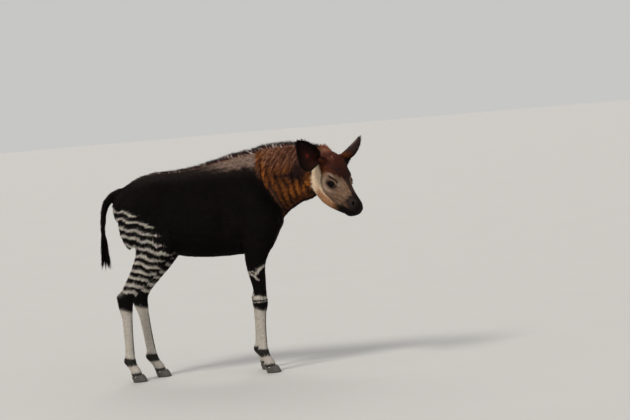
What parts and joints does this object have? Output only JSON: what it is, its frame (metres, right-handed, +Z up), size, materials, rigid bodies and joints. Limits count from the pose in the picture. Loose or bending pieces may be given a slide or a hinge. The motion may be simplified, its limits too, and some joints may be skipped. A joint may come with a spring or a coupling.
{
  "type": "okapi calf",
  "caption": "Life-size still model of a young okapi standing square on its hoofs, head turned and lowered, ears out, short mane along the neck and back.",
  "frame": {"origin": "centre of the bounding box at floor level, under the belly", "axes": "+X towards the chest, along the body; +Y towards the animal's left side; +Z up"},
  "size_m": [1.3526, 0.407, 1.1469],
  "materials": {
    "dark_coat": "short glossy coat, near-black brown",
    "rust_coat": "short coat, rust brown in dark folds",
    "face_coat": "short coat, greyish beige with a maroon brow and a charcoal muzzle",
    "ear_coat": "short coat, dark maroon with a reddish cup",
    "striped_coat": "short coat, black with white stripes and white shanks",
    "horn": "dark horn, satin",
    "eye": "glossy, near black"
  },
  "bodies": {
    "root": {"torso": "dark_coat", "neck": "rust_coat", "head": "face_coat", "tail": "dark_coat", "ear_left": "ear_coat", "ear_right": "ear_coat", "foreleg_left": "striped_coat", "foreleg_right": "striped_coat", "hindleg_left": "striped_coat", "hindleg_right": "striped_coat", "eye_left": "eye", "eye_right": "eye", "fore_left_claw_left": "horn", "fore_left_claw_right": "horn", "fore_right_claw_left": "horn", "fore_right_claw_right": "horn", "hind_left_claw_left": "horn", "hind_left_claw_right": "horn", "hind_right_claw_left": "horn", "hind_right_claw_right": "horn"}
  },
  "joints": []
}
